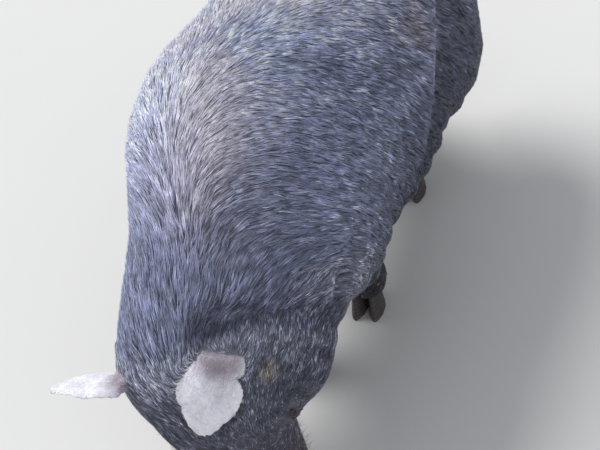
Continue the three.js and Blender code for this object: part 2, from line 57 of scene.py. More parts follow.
# ---- The head's own frame: x to the pig's left, -y along the snout, z out of the brow ----
HEAD_CENTRE = ORIGIN + np.array((-34.0, -382.0, 238.0)) * MM
HEAD_TURN = (46.0, 63.0, -37.0)  # degrees about z, x and y


def turn(axis, degrees):
    return np.array(Matrix.Rotation(math.radians(degrees), 3, axis))


HEAD = turn("Z", HEAD_TURN[0]) @ turn("X", HEAD_TURN[1]) @ turn("Y", HEAD_TURN[2])
HEAD_LEFT, HEAD_FORWARD, HEAD_UP = HEAD[:, 0], -HEAD[:, 1], HEAD[:, 2]

# Root and tip of each ear, and the way that its back faces, in the head's frame.
EAR_ROOTS = {1: (77, -46, 92), -1: (-67, -44, 76)}
EAR_TIPS = {1: (12, 40, 131), -1: (-193, -82, 62)}
EAR_BACKS = {1: (0.43, -0.26, 0.88), -1: (0.19, -0.95, -0.23)}


def in_head(points):
    """Sideways, forward and upward place in the head, in millimetres."""
    local = (points - HEAD_CENTRE) @ HEAD / MM
    return local[:, 0], -local[:, 1], local[:, 2]


def from_head(x, forward, up):
    return HEAD_CENTRE + (HEAD_LEFT * x + HEAD_FORWARD * forward + HEAD_UP * up) * MM


# ---- Small helpers ----
def step(low, high, value):
    """0 below low, 1 above high, smooth between; runs backwards where low is above high."""
    t = np.clip((value - low) / (high - low), 0, 1)
    return t * t * (3 - 2 * t)


def bell(value, width):
    return np.exp(-((value / width) ** 2))


def unit(vectors):
    return vectors / np.maximum(np.linalg.norm(vectors, axis=-1, keepdims=True), 1e-12)


def middle(node):
    low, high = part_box(node)
    return (np.array(low) + np.array(high)) / 2


def ripple(points, size, seed, waves=7):
    """Smooth noise from -1 to 1 with features about as large as size."""
    draw = np.random.default_rng(seed)
    total = np.zeros(len(points))
    for _ in range(waves):
        way = unit(draw.normal(size=3)) * draw.uniform(0.6, 1.5) * 2 * math.pi / size
        total += np.sin(points @ way + draw.uniform(0, 2 * math.pi))
    return total / waves * 1.6


def fetched(items, name, columns, kind=np.float64):
    flat = np.empty(len(items) * columns, dtype=kind)
    items.foreach_get(name, flat)
    return flat.reshape(-1, columns)


def coordinates(mesh):
    return fetched(mesh.vertices, "co", 3)


def normals(mesh):
    return fetched(mesh.vertex_normals, "vector", 3)


def place(mesh, points):
    mesh.vertices.foreach_set("co", np.ascontiguousarray(points, dtype=np.float64).ravel())
    mesh.update()


def edges_of(mesh):
    return fetched(mesh.edges, "vertices", 2, np.int64)


def neighbour_mean(values, edges):
    """The mean of the neighbours' values at every vertex."""
    a, b = edges.T
    count = len(values)
    ties = np.bincount(a, minlength=count) + np.bincount(b, minlength=count)
    columns = values.reshape(count, -1)
    totals = [np.bincount(a, c[b], count) + np.bincount(b, c[a], count) for c in columns.T]
    total = np.stack(totals, axis=1)
    return (total / np.maximum(ties, 1)[:, None]).reshape(values.shape)


def relax(values, edges, rounds, weight=1.0):
    """Evens values out over the mesh; weight is one number or one per vertex."""
    for _ in range(rounds):
        values = values + 0.5 * weight * (neighbour_mean(values, edges) - values)
    return values


def settle(obj):
    """Applies the object's modifiers to its mesh."""
    depsgraph = bpy.context.evaluated_depsgraph_get()
    made = bpy.data.meshes.new_from_object(obj.evaluated_get(depsgraph))
    old = obj.data
    obj.modifiers.clear()
    obj.data = made
    bpy.data.meshes.remove(old)


def voxel_remesh(obj, size):
    remesh = obj.modifiers.new("remesh", "REMESH")
    remesh.mode = "VOXEL"
    remesh.voxel_size = size
    settle(obj)


def mesh_from(bm, name):
    mesh = bpy.data.meshes.new(name)
    bm.to_mesh(mesh)
    bm.free()
    return mesh


def new_object(name, mesh):
    obj = bpy.data.objects.new(name, mesh)
    bpy.context.scene.collection.objects.link(obj)
    return obj


def smooth_shading(mesh):
    mesh.polygons.foreach_set("use_smooth", [True] * len(mesh.polygons))


# ---- Regions of the flesh ----
LEGS = ["foreleg_left", "foreleg_right", "hindleg_left", "hindleg_right"]
# By side: 1 is the pig's left and -1 its right.
EYES = {1: "eye_left", -1: "eye_right"}
EARS = {1: "ear_left", -1: "ear_right"}
# node: softening, depth of coat, length and width of tufts, all in mm, and tufts per cm2
REGIONS = {
    "snout": (1.5, 0.8, 3, 0.5, 0.0),
    "head": (7, 2.4, 14, 0.8, 20.0),
    "neck": (12, 5.0, 26, 1.15, 14.5),
    "chest": (16, 4.8, 25, 1.15, 13.5),
    "belly": (16, 4.3, 24, 1.15, 12.5),
    "rump": (16, 4.3, 23, 1.15, 12.5),
    "tail": (3, 1.8, 13, 0.7, 20.0),
    "ear_left": (5, 0.5, 5, 0.35, 28.0),
    "ear_right": (5, 0.5, 5, 0.35, 28.0),
}
for leg in LEGS:
    REGIONS[leg + "_upper"] = (10, 3.0, 18, 1.1, 14.0)
    REGIONS[leg + "_lower"] = (7.0, 1.4, 8, 0.8, 22.0)
FLESH = list(REGIONS)
TRAITS = np.array([REGIONS[node] for node in FLESH], dtype=float)
EAR_REGIONS = [FLESH.index(node) for node in EARS.values()]
HEAD_REGIONS = [FLESH.index("head"), FLESH.index("snout")]
VOXEL = 2.5 * MM
SOFTEST = 16.0
CLOSING = 0.45  # mm that the nodes grow by, so that the cuts between them close

# Lengths in mm at the eyes.
LIDS = 13.0  # radius of the lids' outer face
BALL = 11.4  # radius of the eyeball
OPENING = 10.2  # half the width of the opening between the lids
UPPER_LID, LOWER_LID = 5.7, 4.5  # how far it reaches above and below its corners
LOOKED_FROM = (30, 66, 8)  # place in the head that the left eye looks straight away from


def joined_flesh():
    """All nodes of flesh as one mesh, and a tree and labels that tell its regions."""
    bm = bmesh.new()
    labels = []
    for index, node in enumerate(FLESH):
        part = bmesh.new()
        part.from_mesh(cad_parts[node].data)
        bmesh.ops.remove_doubles(part, verts=part.verts, dist=1e-5)
        bmesh.ops.recalc_face_normals(part, faces=part.faces)
        part.normal_update()
        for vert in part.verts:
            vert.co += vert.normal * CLOSING * MM
        mesh = mesh_from(part, "part")
        labels += [index] * len(mesh.polygons)
        bm.from_mesh(mesh)
        bpy.data.meshes.remove(mesh)
    bm.faces.ensure_lookup_table()
    tree = BVHTree.FromBMesh(bm)
    for node in EYES.values():
        bmesh.ops.create_icosphere(
            bm, subdivisions=3, radius=LIDS * MM, matrix=Matrix.Translation(middle(node))
        )
    return mesh_from(bm, "flesh"), tree, np.array(labels)


def eye_axes(side):
    """Centre of an eye, the way it looks, and the forward and upward directions in its opening."""
    centre = middle(EYES[side])
    x, ahead, up = LOOKED_FROM
    outward = unit(centre - from_head(side * x, ahead, up))
    forward = unit(HEAD_FORWARD - outward * (HEAD_FORWARD @ outward))
    upward = np.cross(forward, outward) * side
    slant = math.radians(14)
    along = forward * math.cos(slant) - upward * math.sin(slant)
    above = upward * math.cos(slant) + forward * math.sin(slant)
    return centre, outward, along, above


def refine(mesh, chosen):
    """Splits the faces whose middle passes the test chosen(points)."""
    bm = bmesh.new()
    bm.from_mesh(mesh)
    centres = np.array([face.calc_center_median() for face in bm.faces])
    wanted = chosen(centres)
    edges = {edge for face, take in zip(bm.faces, wanted) if take for edge in face.edges}
    bmesh.ops.subdivide_edges(bm, edges=sorted(edges, key=lambda e: e.index), cuts=1,
                              use_grid_fill=True, smooth=0.0)
    bm.to_mesh(mesh)
    bm.free()


def eye_distance(points):
    """Distance in mm from the middle of the nearer eye."""
    away = [np.linalg.norm(points - middle(node), axis=1) for node in EYES.values()]
    return np.min(away, axis=0) / MM


def on_muzzle(points):
    x, forward, up = in_head(points)
    return (forward > 84) & (forward < 240) & (np.abs(x) < 75) & (np.abs(up + 20) < 75)


# ---- Forms that the skin adds ----
def shape_eye(points, side):
    """Lids that lie on the eyeball and open in an almond, with a fold above and a bag below."""
    centre, outward, along, above = eye_axes(side)
    rel = (points - centre) / MM
    u, w, h = rel @ along, rel @ above, rel @ outward
    reach = np.hypot(u, w)
    near = (reach < 34) & (h > -6)
    u, w, h, reach = u[near], w[near], h[near], reach[near]
    dome = np.sqrt(np.maximum(LIDS**2 - reach**2, 0))
    raised = np.maximum(h, dome * step(LIDS + 0.4, LIDS - 1.0, reach))
    # A fold and its swelling above, two shallower folds below.
    raised -= 1.8 * bell(reach - 16.5, 1.7) * step(-2, 5, w)
    raised += 1.2 * bell(reach - 20.0, 2.2) * step(-2, 6, w)
    raised -= 1.2 * bell(reach - 17.0, 1.8) * step(0, -6, w)
    raised -= 0.8 * bell(reach - 23.5, 1.8) * step(-2, -9, w)
    # The lids' rims, and the opening, whose floor lies behind the eyeball's face.
    bow = 1 - (u / OPENING) ** 2
    inner = np.minimum(UPPER_LID * bow - w, w + LOWER_LID * bow)
    raised += 0.45 * bell(inner + 0.9, 0.9) * (np.abs(u) < OPENING + 0.8)
    opened = step(-0.15, 0.55, inner) * (np.abs(u) < OPENING + 0.4)
    behind = np.sqrt(np.maximum(10.0**2 - reach**2, 0)) - 1.5
    raised = raised * (1 - opened) + np.minimum(behind, raised) * opened
    moved = points.copy()
    moved[near] += np.outer(raised - h, outward) * MM
    return moved


# Sideways places of the nostrils, their height in the head, and half their width and height, in mm.
NOSTRILS = (-16, 16)
NOSTRIL_HEIGHT = -12
NOSTRIL_SIZE = (7.6, 9.6)
MUZZLE_FOLDS = 9.0  # mm from fold to fold across the muzzle
FROWN_FOLDS = 17  # mm from fold to fold between the eyes
JOWL_FOLDS = 34  # mm from fold to fold below the cheek


def nostril_reach(x, up, nostril):
    """1 on a nostril's rim, 0 in its middle."""
    width, height = NOSTRIL_SIZE
    return np.hypot((x - nostril) / width, (up - NOSTRIL_HEIGHT) / height)


def mouth_line(forward):
    """Height of the slit of the mouth, which turns up at its corner."""
    return -47 + 11 * np.clip((188 - forward) / 92, 0, 1.1) ** 2


def shape_face(points, normal):
    """How far each point of the face moves along its normal, in mm."""
    x, forward, up = in_head(points)
    side = np.abs(x)
    move = np.zeros(len(points))
    line = mouth_line(forward)
    window = step(92, 104, forward) * step(207, 196, forward) * (up < 0)
    off = up - line
    sideways = step(0.25, 0.6, np.abs(normal @ HEAD_LEFT)) + step(0.3, 0.7, normal @ HEAD_FORWARD)
    window = window * np.clip(sideways, 0, 1)
    move -= 4.2 * bell(off, 1.9) * window
    move += 1.5 * bell(off - 6, 4.5) * window
    move += 0.6 * bell(off + 5, 3.5) * window
    # Folds across the top of the muzzle, behind the disc.
    top = step(-18, 12, up) * step(196, 184, forward) * step(108, 140, forward)
    move += 0.9 * np.sin(forward * 2 * math.pi / MUZZLE_FOLDS + 1.4 * np.sin(x / 13)) * top
    move -= 1.6 * bell(forward - 190, 3.0) * step(-60, -40, up)
    # Frown folds between the eyes.
    frown = step(12, 36, forward) * step(112, 84, forward) * bell(side, 34) * step(20, 45, up)
    move += 1.5 * np.cos(x * 2 * math.pi / FROWN_FOLDS + 0.5 * np.sin(forward / 12)) * frown
    # Rings of loose skin round the eyes.
    for node in EYES.values():
        reach = np.linalg.norm(points - middle(node), axis=1) / MM
        move += 1.2 * np.sin((reach - 24) * 2 * math.pi / 9.5) * bell(reach - 33, 9)
    # Jowls: slack folds that run back and down from the corner of the mouth.
    slack = step(70, 30, forward) * step(-95, -50, forward) * step(20, -20, up)
    move += 2.2 * np.sin((forward * 0.9 + up * 0.55) * 2 * math.pi / JOWL_FOLDS) * slack
    # A dimple between the nostrils and a soft rim round each.
    disc = step(208, 216, forward)
    move -= 1.2 * bell(x, 3.0) * disc * step(26, 10, np.abs(up + 14))
    for nostril in NOSTRILS:
        move += 1.3 * bell(nostril_reach(x, up, nostril) - 1.25, 0.22) * disc
    return move


def to_segment(points, start, end):
    """Distance from a segment, and how far along it the nearest place is, from 0 to 1."""
    way = end - start
    share = np.clip((points - start) @ way / (way @ way), 0, 1)
    return np.linalg.norm(points - start - share[:, None] * way, axis=1), share


STRETCHES = 27  # straight stretches that a crease's path is laid on the skin in


def crease(points, tree, path, width, depth):
    """A groove with swollen lips that follows a path over the skin, in mm along the normal."""
    corners = np.array(path)
    run = np.linspace(0, len(corners) - 1, STRETCHES + 1)
    route = np.stack([np.interp(run, range(len(corners)), column) for column in corners.T], 1)
    route = np.array([tree.find_nearest(place)[0] for place in route])
    nearest = np.full(len(points), 1.0)
    share = np.zeros(len(points))
    for index, (start, end) in enumerate(zip(route[:-1], route[1:])):
        away, along = to_segment(points, start, end)
        closer = away < nearest
        nearest = np.where(closer, away, nearest)
        share = np.where(closer, (index + along) / (len(route) - 1), share)
    nearest = nearest / MM
    ends = step(0, 0.2, share) * step(1, 0.8, share)
    groove = 0.42 * bell(nearest - 1.7 * width, width) - bell(nearest, 0.75 * width)
    return depth * groove * ends


def mirrored(path):
    return [(-x, y, z) for x, y, z in path]


ELBOW = [(0.170, -0.020, 0.330), (0.185, -0.012, 0.260), (0.150, -0.006, 0.190)]
NAPE = [(0.022, -0.402, 0.345), (0.037, -0.382, 0.353), (0.068, -0.357, 0.348),
        (0.092, -0.341, 0.338), (0.117, -0.320, 0.322), (0.137, -0.297, 0.292), (0.142, -0.275, 0.240)]
SHOULDER = [(0.179, -0.160, 0.330), (0.172, -0.194, 0.330), (0.165, -0.219, 0.324),
            (0.156, -0.243, 0.314), (0.150, -0.261, 0.296), (0.145, -0.270, 0.255)]
THROAT = [(0.120, -0.300, 0.180), (0.060, -0.300, 0.150), (0.000, -0.290, 0.150)]
SEAT = [(0.036, 0.412, 0.345), (0.030, 0.395, 0.270), (0.022, 0.350, 0.180)]
# path over the skin, width in mm, depth in mm
CREASES = [
    (ELBOW, 11, 4),
    (mirrored(ELBOW), 11, 4),
    (NAPE, 19, 11),
    (SHOULDER, 13, 7),
    (mirrored(SHOULDER), 11, 5),
    (THROAT, 10, 4),
    (SEAT, 14, 9),
]
TEATS = [(side * 0.046 + 0.012, y, 0.10) for side in (-1, 1) for y in np.linspace(-0.11, 0.20, 6)]
TEAT_SIZE = (7, 4.2 * MM)  # height in mm, and width
# The line that the flank's fold hangs along: a place on it in y and z, and y gained for each z.
FOLD_AT = (0.057, 0.284)
FOLD_SLANT = 1.37


def behind_fold(points):
    """Distance behind the slanting line from the flank's fold, 0 on it."""
    y, z = FOLD_AT
    return points[:, 1] - y - FOLD_SLANT * (points[:, 2] - z)


def shape_body(points, tree):
    move = 1.5 * ripple(points, 0.16, 3) + 0.7 * ripple(points, 0.06, 4)
    # The flank hangs over the ham, which lies deeper just behind the fold.
    behind = behind_fold(points)
    deep = step(-0.006, 0.018, behind) * step(0.15, 0.01, behind)
    swell = bell(behind + 0.022, 0.022)
    height = points[:, 2]
    move += (2.5 * swell - 11 * deep) * step(0.44, 0.38, height) * step(0.16, 0.22, height)
    for path, width, depth in CREASES:
        move += crease(points, tree, path, width, depth)
    tall, wide = TEAT_SIZE
    for teat in TEATS:
        centre = tree.find_nearest(teat)[0]
        move += tall * bell(np.linalg.norm(points - np.array(centre), axis=1), wide)
    return move


def thin_ears(points, normal, region, tree):
    """Halves the thickness of the ears' leaves beyond their roots, from both faces."""
    moved = points.copy()
    for side, node in EARS.items():
        root = from_head(*EAR_ROOTS[side])
        for index in np.flatnonzero(region == FLESH.index(node)):
            spot, out = points[index], normal[index]
            found = tree.ray_cast(spot - out * 0.3 * MM, -out, 14 * MM)
            if found[0] is not None:
                share = 0.24 * step(15, 42, np.linalg.norm(spot - root) / MM)
                moved[index] = spot - out * found[3] * share
    return moved


def ear_axes(side):
    """Root of an ear, and the ways along it to its tip, across it and out of its back."""
    root, tip = from_head(*EAR_ROOTS[side]), from_head(*EAR_TIPS[side])
    along = unit(tip - root)
    back = np.stack([HEAD_LEFT, HEAD_FORWARD, HEAD_UP], 1) @ np.array(EAR_BACKS[side])
    across = unit(np.cross(back, along))
    return root, along, across, np.cross(along, across)


def shape_ears(points, region, edges):
    """A waist below the left ear's root and a straighter front, a fold from each root, and slack."""
    moved = points.copy()
    for side, node in EARS.items():
        root, along, across, out = ear_axes(side)
        own = step(0.5, 1.0, relax((region == FLESH.index(node)).astype(float), edges, 10))
        rel = (points - root) / MM
        reach, aside = rel @ along, rel @ across
        waist = 9 * bell(reach - 24, 9) + 6 * bell(reach - 92, 17)
        waist = waist * step(10, 36, aside) * (side > 0)
        fold = -4.2 * bell(aside - 7, 7) * step(96, 40, reach)
        slack = 1.5 * ripple(points, 0.040, 51) + 0.35 * ripple(points, 0.012, 52)
        slack = slack * step(14, 40, reach)
        moved += (np.outer(-waist * own, across) + np.outer((fold + slack) * own, out)) * MM
    return moved


# ---- Building the skin ----
SKIN_TRIANGLES = 180000


def body_share(points):
    """1 on trunk, neck and thighs, 0 on the face, ears and feet."""
    _, forward, _ = in_head(points)
    return step(40, -40, forward) * step(0.08, 0.17, points[:, 2])


def tree_of(mesh):
    bm = bmesh.new()
    bm.from_mesh(mesh)
    tree = BVHTree.FromBMesh(bm)
    bm.free()
    return tree


def build_skin():
    """The skin, and a function that gives the region of flesh at each of some points."""
    mesh, label_tree, labels = joined_flesh()

    def region_at(spots):
        return np.array([labels[label_tree.find_nearest(spot)[2]] for spot in spots])

    skin = new_object("skin", mesh)
    voxel_remesh(skin, VOXEL)
    mesh = skin.data
    points = coordinates(mesh)
    edges = edges_of(mesh)
    region = region_at(points)
    traits = TRAITS[region]
    soft = relax(traits[:, 0], edges, 12)
    points = relax(points, edges, 160, ((soft / SOFTEST) ** 2)[:, None])
    place(mesh, points)
    depth = relax(traits[:, 1], edges, 60)
    _, forward, _ = in_head(points)
    face = np.isin(region, HEAD_REGIONS)
    depth = np.where(face, np.minimum(depth, 1.0 + 4.5 * step(90, -70, forward)), depth)
    place(mesh, points - normals(mesh) * depth[:, None] * MM)
    place(mesh, thin_ears(coordinates(mesh), normals(mesh), region, tree_of(mesh)))
    refine(mesh, on_muzzle)
    for radius in (30, 19):
        refine(mesh, lambda spots: eye_distance(spots) < radius)
    points, normal = coordinates(mesh), normals(mesh)
    tree = tree_of(mesh)
    move = shape_face(points, normal) + shape_body(points, tree) * body_share(points)
    points = points + normal * move[:, None] * MM
    for side in EYES:
        points = shape_eye(points, side)
    place(mesh, points)
    region = region_at(points)
    points = shape_ears(points, region, edges_of(mesh))
    place(mesh, points)
    lighten(skin, points)
    smooth_shading(skin.data)
    return skin, region_at


def lighten(skin, points):
    """Brings the skin down to SKIN_TRIANGLES, least of all on the face and the ears."""
    group = skin.vertex_groups.new(name="coarse")
    _, forward, up = in_head(points)
    fine = np.maximum(step(-30, 60, forward), eye_distance(points) < 40)
    for root in EAR_ROOTS.values():
        ear = np.linalg.norm(points - from_head(*root), axis=1)
        fine = np.maximum(fine, 0.8 * step(0.15, 0.10, ear) * (up > 40))
    for level in range(11):
        chosen = np.flatnonzero(np.round((1 - fine) * 10) == level)
        group.add(chosen.tolist(), 0.02 + level / 10 * 0.98, "REPLACE")
    thin = skin.modifiers.new("thin", "DECIMATE")
    triangles = sum(len(face.vertices) - 2 for face in skin.data.polygons)
    thin.ratio = SKIN_TRIANGLES / triangles
    thin.vertex_group = "coarse"
    thin.vertex_group_factor = 3.0
    settle(skin)


# ---- The lie and colour of the coat ----
def srgb(*levels):
    """A screen colour, 0 to 255, as a linear one."""
    share = np.array(levels) / 255
    return np.where(share <= 0.04045, share / 12.92, ((share + 0.055) / 1.055) ** 2.4)


SLATE = srgb(96, 101, 124)
# Painted highlight: the paler blue-grey of upward faces of the shoulders and back.
TOP_HIGHLIGHT = srgb(174, 184, 222)
# Painted sheen along the top of the pig's right side.
RIM_SHEEN = srgb(206, 209, 226)
# Painted shade, for the lower flank and the creases of the nape and shoulder.
PAINTED_SHADE = srgb(46, 48, 62)
# Painted shadow on the ham just behind the flank's fold.
HAM_SHADOW = srgb(28, 28, 40)
CHEEK = srgb(150, 155, 176)
# The rose band where the hair parts, made paler as painted highlight.
ROSE_BAND_HIGHLIGHT = srgb(214, 204, 214)
BROWN = srgb(120, 106, 100)
MOTTLE = srgb(110, 110, 124)
MUZZLE = srgb(112, 102, 106)
DISC = srgb(138, 118, 120)
EAR = srgb(242, 240, 250)
EAR_ROOT = srgb(160, 150, 160)
RUST = srgb(132, 112, 104)
TAN = srgb(168, 154, 138)
FOOT = srgb(78, 72, 72)
# Painted shade for the nostril openings, which the skin has no holes for.
NOSTRIL_SHADE = srgb(26, 18, 20)
LASH = srgb(44, 40, 42)
WHISKER = srgb(150, 140, 140)
FAIR_TUFT = srgb(190, 190, 200)

RUSTY_PLACE = np.array((0.174, 0.122, 0.405))
TAN_PLACE = np.array((0.092, -0.385, 0.273))
BROWN_PLACES = np.array([(0.098, -0.331, 0.339), (0.084, -0.350, 0.342)])
RIDGE_STEP = 0.02  # along the back, from one measured place to the next


def ridge_of(points):
    """x of the top of the back as a function of y."""
    bins = np.arange(-0.40, 0.40, RIDGE_STEP)
    tops = []
    for low in bins:
        here = points[(points[:, 1] >= low) & (points[:, 1] < low + RIDGE_STEP)]
        high = here[here[:, 2] > here[:, 2].max() - 0.006]
        tops.append(high[:, 0].mean())
    tops = np.convolve(np.pad(tops, 2, "edge"), np.ones(5) / 5, "valid")
    return lambda y: np.interp(y, bins + RIDGE_STEP / 2, tops)


def mixed(colours, other, share):
    return colours + (other - colours) * np.clip(share, 0, 1)[:, None]


def rose_band_and_rim_sheen(points, normal, ridge):
    """The rose band along the back, a little to the left of its ridge and paler on its upward faces as
    painted highlight, and a painted sheen on the pale side beyond.
    """
    y, height = points[:, 1], points[:, 2]
    aside = points[:, 0] - ridge(y) - 0.012 * ripple(points, 0.05, 11)
    # The rose band is a real marking; it is shown only on upward faces and made paler there as painted
    # highlight.
    rose = bell(aside - 0.026, 0.044) * step(0.25, 0.65, normal[:, 2])
    rose = rose * step(-0.36, -0.20, y) * step(0.42, 0.30, y)
    # The rim is a painted sheen along the top of the pig's right side.
    rim = bell(aside + 0.070, 0.050) * step(-0.34, -0.10, y) * step(0.25, 0.0, y)
    return rose, rim * step(0.37, 0.47, height)


def near_path(points, path, width):
    """1 on a path over the skin, fading over width."""
    nearest = np.min([to_segment(points, np.array(a), np.array(b))[0]
                      for a, b in zip(path[:-1], path[1:])], axis=0)
    return bell(nearest, width)


def spot_at(points, centre, width, ragged=0):
    """1 in the middle of a round spot, fading over width; ragged shifts its edge."""
    return bell(np.linalg.norm(points - centre, axis=1) + ragged, width)


def body_layers(points, normal, ridge, fine, wander, head):
    """Colours of trunk, neck and legs, each with its share at every point, from below upwards."""
    y, height = points[:, 1], points[:, 2]
    # Upward faces of the shoulders and back get painted highlight.
    lit_top = step(0.35, 0.95, normal[:, 2]) * step(-0.30, -0.05, y)
    # Behind the flank's fold the ham gets painted shadow, darkest just behind the fold, and the hair
    # above that fold is rusty.
    behind = behind_fold(points)
    ham_shadow = step(-0.004, 0.034, behind) * (1 - 0.6 * step(0.06, 0.20, behind))
    rose, rim = rose_band_and_rim_sheen(points, normal, ridge)
    nape = step(-0.20, -0.34, y) * step(0.30, 0.36, height)
    return [
        (TOP_HIGHLIGHT, (0.08 + 0.76 * lit_top) * (1 + 0.2 * wander) * ~head),
        (CHEEK, head),
        # Painted shade, darker towards the bottom of the flank.
        (PAINTED_SHADE, step(0.37, 0.22, height) * 0.85),
        # Painted shadow behind the flank's fold.
        (HAM_SHADOW, ham_shadow * step(0.46, 0.38, height) * 0.92),
        (RUST, spot_at(points, RUSTY_PLACE, 0.045) * (0.45 + 0.35 * fine)),
        # Rose band, paler as painted highlight.
        (ROSE_BAND_HIGHLIGHT, rose * (0.78 + 0.14 * fine)),
        # Painted sheen along the top of the right side.
        (RIM_SHEEN, rim * (0.74 + 0.10 * fine)),
        (MOTTLE, nape * (0.30 + 0.3 * fine)),
    ]


def head_layers(points, fine, wander, head):
    """Colours of head and nape: mottled, paler and pinker towards the disc, with painted shade in the
    folds.
    """
    x, forward, up = in_head(points)
    nostrils = [
        step(1.15, 0.8, nostril_reach(x, up, nostril)) * step(190, 200, forward)
        for nostril in NOSTRILS
    ]
    return [
        (MOTTLE, head * (0.38 + 0.45 * fine + 0.2 * wander)),
        (MUZZLE, head * step(95, 185, forward) * (0.7 + 0.3 * fine)),
        (DISC, head * step(190, 206, forward) * (0.75 + 0.4 * fine)),
        # The nostrils are painted shade, without openings in the skin.
        *((NOSTRIL_SHADE, inside) for inside in nostrils),
        (TAN, spot_at(points, TAN_PLACE, 0.011) * 0.8),
        # Painted shade along the creases of the nape and shoulder.
        (PAINTED_SHADE, near_path(points, NAPE, 0.020) * 0.6),
        (PAINTED_SHADE, near_path(points, SHOULDER, 0.018) * 0.5),
        *((BROWN, spot_at(points, brown, 0.009, 0.004 * fine) * 0.8) for brown in BROWN_PLACES),
    ]


def markings(points, normal, region, ridge):
    """The pig's colours, with painted highlight, sheen and shade, for skin and coat alike."""
    wander = ripple(points, 0.05, 11)
    fine = ripple(points, 0.018, 12)
    head = np.isin(region, HEAD_REGIONS)
    layers = body_layers(points, normal, ridge, fine, wander, head)
    layers += head_layers(points, fine, wander, head)
    colours = np.tile(SLATE, (len(points), 1))
    for colour, share in layers:
        colours = mixed(colours, colour, share)
    for side, node in EARS.items():
        reach = np.linalg.norm(points - from_head(*EAR_ROOTS[side]), axis=1)
        pale = mixed(np.tile(EAR, (len(points), 1)), EAR_ROOT, step(0.045, 0.015, reach))
        pale = mixed(pale, EAR_ROOT, 0.06 + 0.10 * fine)
        colours = np.where((region == FLESH.index(node))[:, None], pale, colours)
    foot = step(0.16, 0.06, points[:, 2]) * ~head * (0.5 + 0.3 * fine)
    colours = mixed(colours, FOOT, foot)
    return np.clip(colours * (1 + 0.12 * wander + 0.1 * fine)[:, None], 0, 1)


def paint_skin(skin, region, ridge):
    """The coat's markings on the skin, darker where hair shades it."""
    points, normal = coordinates(skin.data), normals(skin.data)
    tint = markings(points, normal, region, ridge)
    _, forward, _ = in_head(points)
    pale = np.maximum(*rose_band_and_rim_sheen(points, normal, ridge))
    # Less hair shade is painted in the rose band and the painted rim sheen, none on the ears; the disc
    # is lighter.
    shown = np.maximum(0.62 + 0.28 * pale, 1.1 * step(150, 192, forward))
    shown = np.where(np.isin(region, EAR_REGIONS), 1.0, shown)
    rgba = np.hstack([tint * shown[:, None], np.ones((len(points), 1))])
    attribute = skin.data.attributes.new("tint", "FLOAT_COLOR", "POINT")
    attribute.data.foreach_set("color", rgba.ravel())


def hair_lie(points, normal, region, ridge):
    """The way that the hair points on each place of the body, before it is laid on the skin."""
    down = np.array((0.0, 0.0, -1.0))
    back = np.array((0.0, 1.0, 0.0))
    y, height = points[:, 1], points[:, 2]
    # Along the ridge it runs back; beside it, it turns down the flank.
    aside = points[:, 0] - ridge(y)
    turned = step(0.015, 0.075, np.abs(aside)) * step(-0.40, -0.22, y)
    across = np.tanh(aside / 0.03) * turned * normal[:, 2]
    total = np.outer(1 - 0.5 * turned, back) + np.outer(turned, down)
    total[:, 0] += across
    # The head, from the disc to the nape.
    guides = [
        (middle("snout"), -HEAD_FORWARD - 0.1 * HEAD_UP),
        (from_head(0, 60, 0), -HEAD_FORWARD - 0.35 * HEAD_UP),
        (from_head(0, -20, 0), -HEAD_FORWARD - 0.6 * HEAD_UP),
        (middle("neck"), unit(middle("chest") + (0, 0, 0.10) - middle("neck")) + 0.5 * down),
    ]
    face = np.zeros_like(total)
    for spot, way in guides:
        face += np.outer(1 / (np.linalg.norm(points - spot, axis=1) + 0.03) ** 4, way)
    near_head = step(0.23, 0.13, np.linalg.norm(points - HEAD_CENTRE, axis=1))[:, None]
    _, forward, _ = in_head(points)
    near_head = np.maximum(near_head, step(60, 90, forward)[:, None] * (height < 0.3)[:, None])
    total = unit(total) * (1 - near_head) + unit(face) * near_head
    on_leg = (step(0.22, 0.13, height) * step(60, -40, forward))[:, None]
    total = total * (1 - on_leg) + (0.15 * back + down) * on_leg
    for side, node in EARS.items():
        way = unit(from_head(*EAR_TIPS[side]) - from_head(*EAR_ROOTS[side]))
        total[region == FLESH.index(node)] = way
    total[region == FLESH.index("tail")] = 0.1 * back + down
    for side in EYES:
        centre, outward, _, _ = eye_axes(side)
        away = points - centre
        away -= np.outer(away @ outward, outward)
        reach = np.linalg.norm(points - centre, axis=1) / MM
        total += 1.6 * unit(away) * step(38, 14, reach)[:, None]
    swirl = np.stack([ripple(points, 0.09, seed) for seed in (21, 22, 23)], 1)
    return unit(total + 0.12 * swirl)


# ---- Tufts ----
TUFTS = 236000
TUFTS_IN_A_PIECE = 33000
GAIN = 1.75  # makes up for the shade that tufts cast on each other
UNEVEN = 0.38  # spread of the tufts' shades, and of their locks' shades
LOCK = 5  # tufts that gather into one lock
FAIR_TUFTS = 0.0012  # share of the tufts that are nearly white
BELLY_AT, BEYOND = 0.42, 0.58  # shares of a tuft's length before and beyond its widest place
LASHES = 26  # on each upper lid
LASH_WIDTH = 0.32  # in mm
WHISKERS = 150
WHISKER_WIDTH = 0.38  # in mm
PATCH = 0.0015  # half the size of a tuft's patch on the map of the skin
SUNK = 0.6 * MM  # how deep a tuft's root lies in the skin


